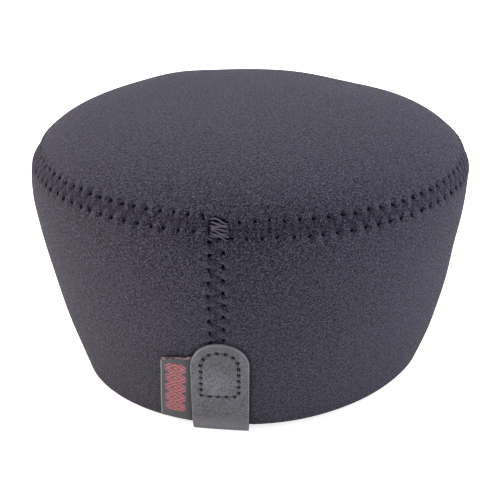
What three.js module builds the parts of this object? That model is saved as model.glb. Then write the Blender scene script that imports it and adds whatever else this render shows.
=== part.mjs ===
// A soft pull-over cap for the front of a large lens hood, in millimetres with +Z up.
// It stands mouth down: z = 0 is the underside of the pull tab's fold, and the tab faces -Y.
// The shell is two panels of knit-faced foam, a domed crown and a flared wall, butted edge to edge
// and joined by zigzag seams. A strip wrapped round the rim and stitched through is the pull tab.
import * as THREE from "three";

// Outer shape, measured from the rim's plane
const RIM_RADIUS = 61.9;
const WIDEST_RADIUS = 76.2;
const WIDEST_HEIGHT = 69.7;
const FLARE_HEIGHT = 43; // where the rim's slope, carried on, would reach the widest radius
const CROWN_HEIGHT = 93.6;
const SHOULDER_RISE = 17.4; // how far the wall's upright line carries on into the shoulder
const CROWN_FLAT_RADIUS = 45.9; // how far the crown's level line reaches out towards the shoulder

// Sheet build-up, from the outside in
const JERSEY = 0.5;
const FOAM = 2.2;
const LINING = 0.4;
const STIFFENER = 1;
const GLUE = 0.15; // film either side of the stiffener
const STIFFENER_RADIUS = 56;
const PLY_GAP = 0.05;
const SEAM_GAP = 0.3; // between butted panel edges
const SKIN_LIFT = 0.1; // the skins end this far above the foam at the rim

// Threads and seams
const THREAD = 0.5;
const THREAD_GAP = 0.17;
const MITRE_LIMIT = 0.6; // keeps a thread from widening too far at a sharp corner
const FACET_SAG = 0.5; // how far a facet's middle may lie inside the true surface
const CROWN_SEAM_ARC = 77.7; // from the rim, along the wall's surface
const SEAM_WIDTH = 4.8;
const CROWN_SEAM_CYCLES = 104;
const SIDE_SEAM_PITCH = 4.55;
const SIDE_SEAM_WIDTH = 4.4;
const SIDE_SEAM_TOP = 73.2;
const SIDE_SEAM_BOTTOM = 2.5;
const SIDE_SEAM_ANGLE_TOP = THREE.MathUtils.degToRad(-7.7);
const SIDE_SEAM_ANGLE_RIM = THREE.MathUtils.degToRad(-10.2);

// Bartack where the two seams meet
const BARTACK = { across: -9.6, width: 5.4, bottom: 74, top: 80.6, bars: 9 };

// Pull tab, a strip 3/4 in wide, and the D of stitching through both its leaves
const TAB_WIDTH = 19.05;
const TAB_ACROSS = -10.6;
const TAB_THICKNESS = 1.2;
const TAB_TOP = 38.4;
const TAB_LIFT = 0.75; // clear of the seam and the label under it
const TAB_DROP = 1.9; // how far the fold reaches below the rim
const STITCH = { width: 11.9, bottom: 15.9, sag: 0.6, archFrom: 28.7, archSteps: 8 };

// Label, a ribbon folded double, its ends caught under the tab's left edge
const LABEL = { bottom: 2, top: 30, ply: 0.3, flap: 9.6, tail: 6, lift: 0.25 };
const LABEL_HINGE = { fromTab: 1.4, toFlap: 0.2, toTail: 0.35 };

const FACETS = 40;
const WALL_STEPS = 5;
const SHOULDER_STEPS = 3;
const CROWN_STEPS = 9;
const CROWN_STEP_GROWTH = 1.25; // shorter steps round the shoulder, longer ones over the top

const material = (color, roughness, metalness = 0) =>
  new THREE.MeshStandardMaterial({ color, roughness, metalness });
const MATERIALS = {
  jersey: material(0x3b3a40, 0.85),
  foam: material(0x1c1c1e, 0.95),
  lining: material(0x2a2a2d, 0.8),
  stiffener: material(0x26262a, 0.5),
  thread: material(0x232328, 0.7),
  tab: material(0x55565a, 0.55),
  label: material(0x34393d, 0.8),
};

const lensCap = new THREE.Group();

function addPiece(name, finish, geometry) {
  const mesh = new THREE.Mesh(geometry, MATERIALS[finish]);
  mesh.name = name;
  lensCap.add(mesh);
  return mesh;
}

// The outer surface in section: x is the radius and y the height above the rim
const section = new THREE.CurvePath();
section.add(
  new THREE.QuadraticBezierCurve(
    new THREE.Vector2(RIM_RADIUS, 0),
    new THREE.Vector2(WIDEST_RADIUS, FLARE_HEIGHT),
    new THREE.Vector2(WIDEST_RADIUS, WIDEST_HEIGHT),
  ),
);
section.add(
  new THREE.CubicBezierCurve(
    new THREE.Vector2(WIDEST_RADIUS, WIDEST_HEIGHT),
    new THREE.Vector2(WIDEST_RADIUS, WIDEST_HEIGHT + SHOULDER_RISE),
    new THREE.Vector2(CROWN_FLAT_RADIUS, CROWN_HEIGHT),
    new THREE.Vector2(0, CROWN_HEIGHT),
  ),
);
const SECTION_LENGTH = section.getLength();
const WIDEST_ARC = section.curves[0].getLength();
const SHEET = JERSEY + PLY_GAP + FOAM + PLY_GAP + LINING;

// The point of the section at an arc length from the rim, moved outward by a height
function sectionPoint(arc, height = 0) {
  const t = THREE.MathUtils.clamp(arc / SECTION_LENGTH, 0, 1);
  const along = section.getTangent(t);
  const out = new THREE.Vector2(along.y, -along.x);
  const beyond = Math.min(arc, 0);
  return section.getPoint(t).addScaledVector(along, beyond).addScaledVector(out, height);
}

// Slides a point of the section along the rim's slope to a given height
function slidTo(point, height) {
  const slope = section.getTangent(0);
  return point.clone().addScaledVector(slope, (height - point.y) / slope.y);
}

// A point in space from a section point and an angle round the axis, counted from the front
function turned(point, angle) {
  return new THREE.Vector3(
    point.x * Math.sin(angle),
    -point.x * Math.cos(angle),
    point.y + TAB_DROP,
  );
}

// The angle of a line that runs straight up the front, a distance across from the middle
const angleAcross = (across, arc) => across / sectionPoint(Math.max(arc, 0)).x;

// A point on the shell: a distance across the front, an arc length up, a height above the jersey
function onShell(across, arc, height) {
  return turned(sectionPoint(arc, height), angleAcross(across, arc));
}

const sideSeamAngle = (arc) =>
  THREE.MathUtils.mapLinear(arc, 0, CROWN_SEAM_ARC, SIDE_SEAM_ANGLE_RIM, SIDE_SEAM_ANGLE_TOP);

function outwardAt(arc, angle) {
  return turned(sectionPoint(arc, 1), angle).sub(turned(sectionPoint(arc), angle)).normalize();
}

function closedGeometry(points, triangles) {
  const geometry = new THREE.BufferGeometry().setFromPoints(points);
  geometry.setIndex(triangles);
  geometry.computeVertexNormals();
  return geometry;
}

// Joins rings of equal length into one closed skin, round again to the first or capped at both ends
function skinRings(rings, endless) {
  const count = rings[0].length;
  const triangles = [];
  const last = endless ? rings.length : rings.length - 1;
  for (let i = 0; i < last; i++) {
    const here = i * count;
    const next = ((i + 1) % rings.length) * count;
    for (let j = 0; j < count; j++) {
      const k = (j + 1) % count;
      triangles.push(here + j, next + j, next + k, here + j, next + k, here + k);
    }
  }
  if (!endless) {
    const end = (rings.length - 1) * count;
    for (const [a, b, c] of capOf(rings[0])) triangles.push(a, b, c);
    for (const [a, b, c] of capOf(rings.at(-1))) triangles.push(end + c, end + b, end + a);
  }
  return closedGeometry(rings.flat(), triangles);
}

// Triangles that fill a flat ring, seen along its own best plane
function capOf(ring) {
  const middle = ring.reduce((sum, p) => sum.add(p), new THREE.Vector3()).divideScalar(ring.length);
  const normal = new THREE.Vector3();
  ring.forEach((p, i) => {
    const q = ring[(i + 1) % ring.length];
    normal.add(p.clone().sub(middle).cross(q.clone().sub(middle)));
  });
  normal.normalize();
  const x = ring[1].clone().sub(ring[0]).normalize();
  const y = normal.clone().cross(x);
  const flat = ring.map((p) => {
    const fromMiddle = p.clone().sub(middle);
    return new THREE.Vector2(fromMiddle.dot(x), fromMiddle.dot(y));
  });
  return THREE.ShapeUtils.triangulateShape(flat, []);
}

// One ply of the wall, a strip bent round until its ends meet at the side seam
function wallPly(outer, inner, bottom) {
  const top = CROWN_SEAM_ARC - SEAM_GAP / 2;
  const arcs = [];
  for (let i = 0; i < WALL_STEPS; i++) arcs.push((WIDEST_ARC * i) / WALL_STEPS);
  for (let i = 0; i <= SHOULDER_STEPS; i++) {
    arcs.push(THREE.MathUtils.lerp(WIDEST_ARC, top, i / SHOULDER_STEPS));
  }
  const up = (depth) =>
    arcs.map((arc) => {
      const point = sectionPoint(arc, -depth);
      return { point: arc === 0 ? slidTo(point, bottom) : point, arc };
    });
  const outline = [...up(outer), ...up(inner).reverse()];
  const rings = [];
  for (let i = 0; i <= FACETS; i++) {
    rings.push(
      outline.map(({ point, arc }) => {
        const slit = SEAM_GAP / point.x;
        const from = sideSeamAngle(arc) + slit / 2;
        return turned(point, from + ((2 * Math.PI - slit) * i) / FACETS);
      }),
    );
  }
  return skinRings(rings, false);
}

// One ply of the crown, turned about the axis
function crownPly(depthAt, thickness, fromArc) {
  const arcs = [];
  for (let i = 0; i <= CROWN_STEPS; i++) {
    arcs.push(THREE.MathUtils.lerp(fromArc, SECTION_LENGTH, (i / CROWN_STEPS) ** CROWN_STEP_GROWTH));
  }
  const outside = arcs.map((arc) => sectionPoint(arc, -depthAt(arc)));
  const inside = arcs.map((arc) => sectionPoint(arc, -depthAt(arc) - thickness));
  outside.at(-1).x = 0;
  inside.at(-1).x = 0;
  const profile = [...inside.reverse(), ...outside];
  const lathe = new THREE.LatheGeometry(profile, FACETS);
  lathe.rotateX(Math.PI / 2);
  lathe.translate(0, 0, TAB_DROP);
  return lathe;
}

// A thread of square section along points on the shell, each with the direction out of the cloth
function threadAlong(points, outward, endless) {
  const half = THREAD / 2;
  const count = points.length;
  const rings = points.map((p, i) => {
    const before = points[endless ? (i + count - 1) % count : Math.max(i - 1, 0)];
    const after = points[endless ? (i + 1) % count : Math.min(i + 1, count - 1)];
    const arriving = p.clone().sub(before).normalize();
    const leaving = after.clone().sub(p).normalize();
    const along = arriving.clone().add(leaving).normalize();
    const side = along.clone().cross(outward[i]).normalize();
    const up = side.clone().cross(along).normalize();
    const straightness = along.dot(leaving.lengthSq() ? leaving : arriving);
    const reach = half / Math.max(straightness, MITRE_LIMIT);
    return [
      p.clone().addScaledVector(side, reach),
      p.clone().addScaledVector(up, half),
      p.clone().addScaledVector(side, -reach),
      p.clone().addScaledVector(up, -half),
    ];
  });
  return skinRings(rings, endless);
}

// The zigzag that joins crown to wall, outside or inside the sheet
function crownSeam(height) {
  const points = [];
  const outward = [];
  for (let i = 0; i < 2 * CROWN_SEAM_CYCLES; i++) {
    const arc = CROWN_SEAM_ARC + (i % 2 ? 0.5 : -0.5) * SEAM_WIDTH;
    const angle = sideSeamAngle(CROWN_SEAM_ARC) + (Math.PI * (i + 0.5)) / CROWN_SEAM_CYCLES;
    points.push(turned(sectionPoint(arc, height), angle));
    outward.push(outwardAt(arc, angle));
  }
  return threadAlong(points, outward, true);
}

// The zigzag that closes the wall, from below the bartack to the rim
function sideSeam(height) {
  const points = [];
  const outward = [];
  const steps = Math.floor((2 * (SIDE_SEAM_TOP - SIDE_SEAM_BOTTOM)) / SIDE_SEAM_PITCH);
  for (let i = 0; i <= steps; i++) {
    const arc = SIDE_SEAM_TOP - (i * SIDE_SEAM_PITCH) / 2;
    const point = sectionPoint(arc, height);
    const angle = sideSeamAngle(arc) + ((i % 2 ? 0.5 : -0.5) * SIDE_SEAM_WIDTH) / point.x;
    points.push(turned(point, angle));
    outward.push(outwardAt(arc, angle));
  }
  return threadAlong(points, outward, false);
}

// Rows of thread laid side by side across the meeting of the seams
function bartack(height) {
  const points = [];
  const outward = [];
  for (let i = 0; i < BARTACK.bars; i++) {
    const arc = THREE.MathUtils.lerp(BARTACK.bottom, BARTACK.top, (i + 0.5) / BARTACK.bars);
    const sides = i % 2 ? [0.5, 0, -0.5] : [-0.5, 0, 0.5];
    for (const side of sides) {
      const across = BARTACK.across + side * (BARTACK.width - THREAD);
      points.push(onShell(across, arc, height));
      outward.push(outwardAt(arc, angleAcross(across, arc)));
    }
  }
  return threadAlong(points, outward, false);
}

// The tab's middle line in section: up the outside, round under the rim and up the inside
const TAB_OUTSIDE = TAB_LIFT + TAB_THICKNESS / 2;
const TAB_INSIDE = -(SHEET + FACET_SAG + TAB_LIFT + TAB_THICKNESS / 2);
const TAB_ROUND_FROM = TAB_TOP - TAB_WIDTH / 2;
const TAB_ROUND_STEPS = 5;
const TAB_TIP_TURN = Math.PI / 2 - 0.2; // the round end stops just short of a point
const TAB_LEAF_STEPS = 4;
const TAB_FOLD_STEPS = 6;
const TAB_COLUMNS = 4;

function tabLeafArcs() {
  const arcs = [];
  for (let i = 0; i < TAB_ROUND_STEPS; i++) {
    const turn = THREE.MathUtils.lerp(TAB_TIP_TURN, 0, i / TAB_ROUND_STEPS);
    arcs.push({
      arc: TAB_ROUND_FROM + (Math.sin(turn) * TAB_WIDTH) / 2,
      half: (Math.cos(turn) * TAB_WIDTH) / 2,
    });
  }
  for (let i = 0; i <= TAB_LEAF_STEPS; i++) {
    arcs.push({ arc: TAB_ROUND_FROM * (1 - i / TAB_LEAF_STEPS), half: TAB_WIDTH / 2 });
  }
  return arcs;
}

function tabRows() {
  const outside = tabLeafArcs().map((row) => ({ ...row, point: sectionPoint(row.arc, TAB_OUTSIDE) }));
  const inside = tabLeafArcs().map((row) => ({ ...row, point: sectionPoint(row.arc, TAB_INSIDE) }));
  const from = outside.at(-1).point;
  const to = slidTo(inside.at(-1).point, from.y);
  inside.at(-1).point = to;
  const drop = from.y + TAB_DROP - TAB_THICKNESS / 2;
  const fold = [];
  for (let i = 1; i < TAB_FOLD_STEPS; i++) {
    const turn = (Math.PI * i) / TAB_FOLD_STEPS;
    const point = new THREE.Vector2(
      THREE.MathUtils.lerp(from.x, to.x, (1 - Math.cos(turn)) / 2),
      from.y - drop * Math.sin(turn),
    );
    fold.push({ arc: 0, half: TAB_WIDTH / 2, point });
  }
  return [...outside, ...fold, ...inside.reverse()];
}

function pullTab() {
  const rows = tabRows();
  const rings = rows.map((row, i) => {
    const before = rows[Math.max(i - 1, 0)].point;
    const after = rows[Math.min(i + 1, rows.length - 1)].point;
    const along = after.clone().sub(before).normalize();
    const out = new THREE.Vector2(-along.y, along.x).multiplyScalar(TAB_THICKNESS / 2);
    const middle = angleAcross(TAB_ACROSS, row.arc);
    const ring = [];
    for (const side of [1, -1]) {
      const point = row.point.clone().addScaledVector(out, side);
      for (let j = 0; j <= TAB_COLUMNS; j++) {
        const across = THREE.MathUtils.lerp(-row.half, row.half, j / TAB_COLUMNS) * side;
        ring.push(turned(point, middle + across / row.point.x));
      }
    }
    return ring;
  });
  return skinRings(rings, false);
}

// The D of stitching that holds the tab, on one of its leaves
function tabStitch(height, faces) {
  const half = STITCH.width / 2;
  const route = [
    [-half, STITCH.archFrom],
    [-half, (STITCH.archFrom + STITCH.bottom) / 2],
    [-half, STITCH.bottom],
    [0, STITCH.bottom - STITCH.sag],
    [half, STITCH.bottom],
    [half, (STITCH.archFrom + STITCH.bottom) / 2],
  ];
  for (let i = 0; i < STITCH.archSteps; i++) {
    const turn = (Math.PI * i) / STITCH.archSteps;
    route.push([half * Math.cos(turn), STITCH.archFrom + half * Math.sin(turn)]);
  }
  const points = route.map(([across, arc]) => {
    const point = sectionPoint(arc, height);
    return turned(point, angleAcross(TAB_ACROSS, arc) + across / point.x);
  });
  const outward = route.map(([across, arc]) =>
    outwardAt(arc, angleAcross(TAB_ACROSS + across, arc)).multiplyScalar(faces),
  );
  return threadAlong(points, outward, true);
}

// The label's caught ends, lying on the jersey under the tab's left edge
const TAB_LEFT = TAB_ACROSS - TAB_WIDTH / 2;
const HINGE_ACROSS = TAB_LEFT - LABEL_HINGE.fromTab;
const LABEL_MIDDLE = (LABEL.bottom + LABEL.top) / 2;

function labelTail() {
  const from = HINGE_ACROSS + LABEL_HINGE.toTail;
  const rows = 4;
  const columns = 3;
  const rings = [];
  for (let i = 0; i <= rows; i++) {
    const arc = THREE.MathUtils.lerp(LABEL.bottom, LABEL.top, i / rows);
    const ring = [];
    for (const [height, side] of [[THREAD_GAP, 1], [THREAD_GAP + LABEL.ply, -1]]) {
      for (let j = 0; j <= columns; j++) {
        const t = side > 0 ? j / columns : 1 - j / columns;
        ring.push(onShell(from + LABEL.tail * t, arc, height));
      }
    }
    rings.push(ring);
  }
  return skinRings(rings, false);
}

// The label's free part, a flat double ribbon that starts at its hinge line
function labelFlap() {
  const thickness = 2 * LABEL.ply;
  const plate = new THREE.BoxGeometry(LABEL.flap, thickness, LABEL.top - LABEL.bottom, 3, 1, 1);
  plate.translate(-LABEL.flap / 2 - LABEL_HINGE.toFlap, 0, 0);
  const mesh = addPiece("label_flap", "label", plate);
  const up = onShell(HINGE_ACROSS, LABEL.top, 0).sub(onShell(HINGE_ACROSS, LABEL.bottom, 0)).normalize();
  const out = outwardAt(LABEL_MIDDLE, angleAcross(HINGE_ACROSS, LABEL_MIDDLE));
  const right = up.clone().cross(out).normalize();
  mesh.quaternion.setFromRotationMatrix(new THREE.Matrix4().makeBasis(right, up.clone().cross(right), up));
  mesh.position.copy(onShell(HINGE_ACROSS, LABEL_MIDDLE, LABEL.lift + thickness / 2));
}

const foamDepth = JERSEY + PLY_GAP;
const liningDepth = foamDepth + FOAM + PLY_GAP;
const crownEdge = CROWN_SEAM_ARC + SEAM_GAP / 2;
const stiffenerEdge = SECTION_LENGTH - STIFFENER_RADIUS;
const stiffenerDepth = foamDepth + FOAM + GLUE;
const liningStep = STIFFENER + 2 * GLUE - PLY_GAP;
const slopeFrom = stiffenerEdge - 12;
const slopeTo = stiffenerEdge - 3;
const overStiffener = (arc) =>
  liningDepth + liningStep * THREE.MathUtils.smoothstep(arc, slopeFrom, slopeTo);

addPiece("crown_outer_jersey", "jersey", crownPly(() => 0, JERSEY, crownEdge));
addPiece("crown_foam", "foam", crownPly(() => foamDepth, FOAM, crownEdge));
addPiece("crown_stiffener", "stiffener", crownPly(() => stiffenerDepth, STIFFENER, stiffenerEdge));
addPiece("crown_lining", "lining", crownPly(overStiffener, LINING, crownEdge));

addPiece("wall_outer_jersey", "jersey", wallPly(0, JERSEY, SKIN_LIFT));
addPiece("wall_foam", "foam", wallPly(foamDepth, foamDepth + FOAM, 0));
addPiece("wall_grip_lining", "lining", wallPly(liningDepth, liningDepth + LINING, SKIN_LIFT));

const outsideThread = THREAD_GAP + THREAD / 2;
const insideThread = -(SHEET + FACET_SAG + THREAD_GAP + THREAD / 2);
addPiece("crown_seam_thread", "thread", crownSeam(outsideThread));
addPiece("crown_seam_bobbin_thread", "thread", crownSeam(insideThread));
addPiece("side_seam_thread", "thread", sideSeam(outsideThread));
addPiece("side_seam_bobbin_thread", "thread", sideSeam(insideThread));
addPiece("bartack_thread", "thread", bartack(outsideThread + THREAD + THREAD_GAP));

addPiece("pull_tab", "tab", pullTab());
const leafToThread = (TAB_THICKNESS + THREAD) / 2 + THREAD_GAP;
addPiece("tab_stitch_thread", "thread", tabStitch(TAB_OUTSIDE + leafToThread, 1));
addPiece("tab_stitch_bobbin_thread", "thread", tabStitch(TAB_INSIDE - leafToThread, -1));

addPiece("label_tail", "label", labelTail());
labelFlap();

export default lensCap;
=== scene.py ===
import math

import bmesh
import bpy
import numpy as np
from mathutils import Matrix, Vector


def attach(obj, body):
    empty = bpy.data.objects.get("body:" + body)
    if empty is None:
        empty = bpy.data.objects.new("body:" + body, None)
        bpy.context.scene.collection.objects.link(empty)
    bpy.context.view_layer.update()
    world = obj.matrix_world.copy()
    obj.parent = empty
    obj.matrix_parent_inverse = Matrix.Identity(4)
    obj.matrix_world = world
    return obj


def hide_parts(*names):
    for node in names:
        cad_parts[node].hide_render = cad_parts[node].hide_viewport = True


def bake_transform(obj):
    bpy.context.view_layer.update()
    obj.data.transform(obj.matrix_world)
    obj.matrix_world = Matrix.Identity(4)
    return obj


# Soft cap for a large lens hood. Lengths are in millimetres until turned() makes them metres.
# A point on the shell has an azimuth in degrees from the front, an arc up from the rim and a lift.
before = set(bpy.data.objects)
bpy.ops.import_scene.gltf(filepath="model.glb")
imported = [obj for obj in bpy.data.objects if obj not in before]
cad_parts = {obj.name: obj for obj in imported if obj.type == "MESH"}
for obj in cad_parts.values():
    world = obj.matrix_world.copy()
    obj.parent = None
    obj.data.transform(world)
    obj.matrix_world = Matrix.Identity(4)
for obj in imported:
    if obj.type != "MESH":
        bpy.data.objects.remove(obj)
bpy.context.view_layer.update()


# camera, floor and studio light

view = {
    "aim": (-0.0006, 0.0, 0.03704),
    "distance": 0.4195,
    "elevation": 24.19,
    "roll": -0.841,
    "lens": 82.39,
}


def newObject(name, data):
    made = bpy.data.objects.new(name, data)
    bpy.context.collection.objects.link(made)
    return made


def addCamera():
    tilt, roll = math.radians(view["elevation"]), math.radians(view["roll"])
    right, up = Vector((1, 0, 0)), Vector((0, math.sin(tilt), math.cos(tilt)))
    forward = Vector((0, math.cos(tilt), -math.sin(tilt)))
    across = math.cos(roll) * right + math.sin(roll) * up
    above = math.cos(roll) * up - math.sin(roll) * right
    camera = newObject("camera", bpy.data.cameras.new("camera"))
    camera.data.lens = view["lens"]
    camera.data.sensor_width = 36
    camera.data.clip_start = 0.01
    turn = Matrix((across, above, -forward)).transposed().to_4x4()
    camera.matrix_world = Matrix.Translation(Vector(view["aim"]) - view["distance"] * forward) @ turn
    bpy.context.scene.camera = camera


studio = {
    "sky": 0.9,
    "floorSize": 8.0,
    "floorHeight": -0.0009,
    "lights": [  # name, place, aimed at, size, watts, colour
        ("overheadLight", (0.0, 0.25, 1.3), (0, 0, 0.05), 1.2, 16, (1.0, 0.99, 0.98)),
        ("leftLight", (-1.1, -0.15, 0.55), (0, 0, 0.04), 0.9, 11.3, (1.0, 0.79, 0.69)),
        ("rightLight", (1.1, -0.05, 0.6), (0, 0, 0.04), 0.9, 9.3, (0.75, 0.81, 1.0)),
    ],
}


def addStudio():
    world = bpy.data.worlds.new("studioSky")
    world.use_nodes = True
    sky = {"Color": (1, 1, 1, 1), "Strength": studio["sky"]}
    feed(world.node_tree, world.node_tree.nodes["Background"], sky)
    bpy.context.scene.world = world
    for name, place, aim, size, watts, colour in studio["lights"]:
        data = bpy.data.lights.new(name, "AREA")
        data.shape, data.size, data.energy, data.color = "SQUARE", size, watts, colour
        light = newObject(name, data)
        light.location = place
        light.rotation_euler = (Vector(aim) - Vector(place)).to_track_quat("-Z", "Y").to_euler()
    half, height = studio["floorSize"] / 2, studio["floorHeight"]
    mesh = bpy.data.meshes.new("floor")
    corners = [(x, y, height) for x, y in ((-half, -half), (half, -half), (half, half), (-half, half))]
    mesh.from_pydata(corners, [], [(0, 1, 2, 3)])
    floor = newObject("floor", mesh)
    floor.data.materials.append(floorPaint())
    bpy.context.scene.view_settings.view_transform = "Standard"


# node helpers

class Wire:  # what a node puts out: arithmetic on it adds the nodes that work it out
    def __init__(self, tree, socket):
        self.tree, self.socket = tree, socket

    def math(self, operation, *others):
        return addNode(self.tree, "Math", dict(enumerate((self, *others))), operation=operation)[0]

    def __add__(self, other):
        return self.math("ADD", other)

    def __sub__(self, other):
        return self.math("SUBTRACT", other)

    def __mul__(self, other):
        return self.math("MULTIPLY", other)

    def __truediv__(self, other):
        return self.math("DIVIDE", other)

    def __lt__(self, other):
        return self.math("LESS_THAN", other)

    def __gt__(self, other):
        return self.math("GREATER_THAN", other)

    def __abs__(self):
        return self.math("ABSOLUTE")

    def scaled(self, factor, added):
        return self.math("MULTIPLY_ADD", factor, added)

    def spread(self, low, high, toLow=0.0, toHigh=1.0):  # eased from one range into another
        ends = {0: self, 1: low, 2: high, 3: toLow, 4: toHigh}
        return addNode(self.tree, "MapRange", ends, interpolation_type="SMOOTHSTEP")[0]

    def blend(self, a, b):  # from one colour to another by this amount
        return mixed(self.tree, self, a, b, "MIX")

    def tint(self, colour):  # this colour multiplied by another
        return mixed(self.tree, 1.0, self, colour, "MULTIPLY")


def feed(tree, node, inputs):
    for key, value in inputs.items():
        if isinstance(value, Wire):
            tree.links.new(value.socket, node.inputs[key])
        else:
            node.inputs[key].default_value = value


def outputsOf(tree, node):  # by number and by name
    wires = [Wire(tree, socket) for socket in node.outputs]
    return dict(enumerate(wires)) | {wire.socket.name: wire for wire in reversed(wires)}


def addNode(tree, kind, inputs=None, **settings):
    node = tree.nodes.new("ShaderNode" + kind)
    for key, value in settings.items():
        setattr(node, key, value)
    feed(tree, node, inputs or {})
    return outputsOf(tree, node)


def mixed(tree, amount, a, b, blend):
    a, b = (colour if isinstance(colour, Wire) else (*colour, 1) for colour in (a, b))
    return addNode(tree, "Mix", {0: amount, 6: a, 7: b}, data_type="RGBA", blend_type=blend)[2]


def noise(tree, place, scale, detail, roughness=0.5):
    inputs = {"Vector": place, "Scale": scale, "Detail": detail, "Roughness": roughness}
    return addNode(tree, "TexNoise", inputs)


def partsOf(tree, place):
    return addNode(tree, "SeparateXYZ", {0: place})


def uvPlace(tree, name="cloth"):
    return addNode(tree, "UVMap", uv_map=name)["UV"]


def bodyPlace(tree):  # position on the piece in millimetres
    inputs = {0: addNode(tree, "TexCoord")["Object"], 1: (1000, 1000, 1000)}
    return addNode(tree, "VectorMath", inputs, operation="MULTIPLY")[0]


def newGroup(name, inputs, outputs):  # an input without a value is a vector, and every output is a number
    group = bpy.data.node_groups.new(name, "ShaderNodeTree")
    for label, start in inputs.items():
        kind = "NodeSocketVector" if start is None else "NodeSocketFloat"
        socket = group.interface.new_socket(label, in_out="INPUT", socket_type=kind)
        if start is not None:
            socket.default_value = start
    for label in outputs:
        group.interface.new_socket(label, in_out="OUTPUT", socket_type="NodeSocketFloat")
    return group, outputsOf(group, group.nodes.new("NodeGroupInput")), group.nodes.new("NodeGroupOutput")


def useGroup(tree, group, **inputs):
    return addNode(tree, "Group", inputs, node_tree=group)


def grainOn(tree, pebbles, fibres):
    return useGroup(tree, fineGrain, Body=bodyPlace(tree), Pebbles=pebbles, Fibres=fibres)


def newMaterial(name, colour, roughness, **shader):
    material = bpy.data.materials.new(name)
    material.use_nodes = True
    material.diffuse_color = (*colour, 1)
    surface = material.node_tree.nodes["Principled BSDF"]
    inputs = {"Base Color": (*colour, 1), "Roughness": roughness}
    inputs.update({key.replace("_", " "): value for key, value in shader.items()})
    feed(material.node_tree, surface, inputs)
    return material, material.node_tree, surface


def paint(made, colour, height, depth, roughness=None):
    material, tree, surface = made
    bump = addNode(tree, "Bump", {"Height": height, "Distance": depth, "Strength": 1.0})
    feed(tree, surface, {"Base Color": colour, "Normal": bump["Normal"]})
    if roughness:
        feed(tree, surface, {"Roughness": roughness})
    return material


# shared effects

def makeKnitGroup():  # rows of V shaped loops, broken up by uneven yarn
    inputs = {
        "Cloth": None, "Body": None, "Wale": 0.66, "Course": 0.58,
        "Unevenness": 1.0, "Looseness": 0.5, "Flecks": 2.4, "Fineness": 1.0,
    }
    group, given, result = newGroup("knitLoops", inputs, ("Height", "Yarn", "Mottle", "Glint"))
    wander = noise(group, given["Body"], 0.6, 2.0)["Color"]
    drift = addNode(group, "VectorMath", {0: wander, 1: (0.5, 0.5, 0.5)}, operation="SUBTRACT")[0]
    swayed = {0: drift, 1: (0.9, 0.9, 0.0), 2: given["Cloth"]}
    bent = addNode(group, "VectorMath", swayed, operation="MULTIPLY_ADD")[0]
    place = partsOf(group, bent)
    wale, course = place["X"] / given["Wale"], place["Y"] / given["Course"]
    beside = abs(wale.math("FRACT") - 0.5)
    slanted = beside.scaled(1.3, course)
    strand = (slanted * (2 * math.pi)).math("SINE").scaled(0.5, 0.5)
    column = (beside * 2.0).math("POWER", 3.0).scaled(-1.0, 1.0)
    cell = addNode(group, "CombineXYZ", {"X": wale.math("FLOOR"), "Y": slanted.math("FLOOR")})[0]
    each = addNode(group, "TexWhiteNoise", {"Vector": cell}, noise_dimensions="2D")["Value"]
    loose = each.scaled(given["Looseness"], given["Looseness"].scaled(-1.0, 1.0))
    loops = strand * column * loose
    uneven = (noise(group, given["Body"], 3.1, 3.0, 0.6)["Fac"] - 0.5) * given["Unevenness"]
    drawn = addNode(group, "VectorMath", {0: bent, "Scale": given["Fineness"]}, operation="SCALE")[0]
    lays = []  # short slanting runs of yarn, both ways
    for lean, along, across in ((0.72, 1.08, 0.37), (-0.86, 0.88, 0.39)):
        runs = {"Vector": drawn, "Rotation": (0, 0, lean), "Scale": (along, across, 1.0)}
        laid = addNode(group, "Mapping", runs, vector_type="TEXTURE")[0]
        lays.append(noise(group, laid, 1.0, 1.0)["Fac"])
    fleck = lays[0].math("MAXIMUM", lays[1])
    flecks = (fleck - 0.565) * given["Flecks"]
    feed(group, result, {
        "Height": flecks + uneven.scaled(2.0, loops),
        "Yarn": (uneven.scaled(1.3, loops) + flecks).spread(0.1, 0.7),
        "Mottle": noise(group, given["Body"], 0.06, 4.0, 0.55)["Fac"].spread(0.2, 0.8),
        "Glint": addNode(group, "MapRange", {0: fleck, 1: 0.38, 2: 0.76, 3: 0.12, 4: 1.9})[0],
    })
    return group


def makeGrainGroup():  # pebbled or fibrous grain of a coated surface
    inputs = {"Body": None, "Pebbles": 2.2, "Fibres": 4.0}
    group, given, result = newGroup("fineGrain", inputs, ("Height", "Tone"))
    stones = {"Vector": given["Body"], "Scale": given["Pebbles"]}
    pebble = addNode(group, "TexVoronoi", stones, feature="SMOOTH_F1")["Distance"]
    fibre = noise(group, given["Body"], given["Fibres"], 3.0)["Fac"]
    broad = noise(group, given["Body"], 0.18, 5.0, 0.65)["Fac"]
    tone = fibre.scaled(0.8, broad * 0.3).spread(0.35, 0.75)
    feed(group, result, {"Height": fibre.scaled(0.9, pebble * -0.7), "Tone": tone})
    return group


def makeTwistGroup():  # plies that wind round a thread: x runs round it, y along it in millimetres
    inputs = {"Cloth": None, "Plies": 3.0, "Turn": 1.1}
    group, given, result = newGroup("twistedPlies", inputs, ("Height", "Shade"))
    place = partsOf(group, given["Cloth"])
    ply = ((place["X"] - place["Y"] / given["Turn"]) * given["Plies"]).math("FRACT")
    crest = (ply * math.pi).math("SINE")
    feed(group, result, {"Height": crest, "Shade": crest.spread(0.1, 0.8)})
    return group


knitLoops, fineGrain, twistedPlies = makeKnitGroup(), makeGrainGroup(), makeTwistGroup()
print("shared node groups ready")


# finishes

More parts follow.
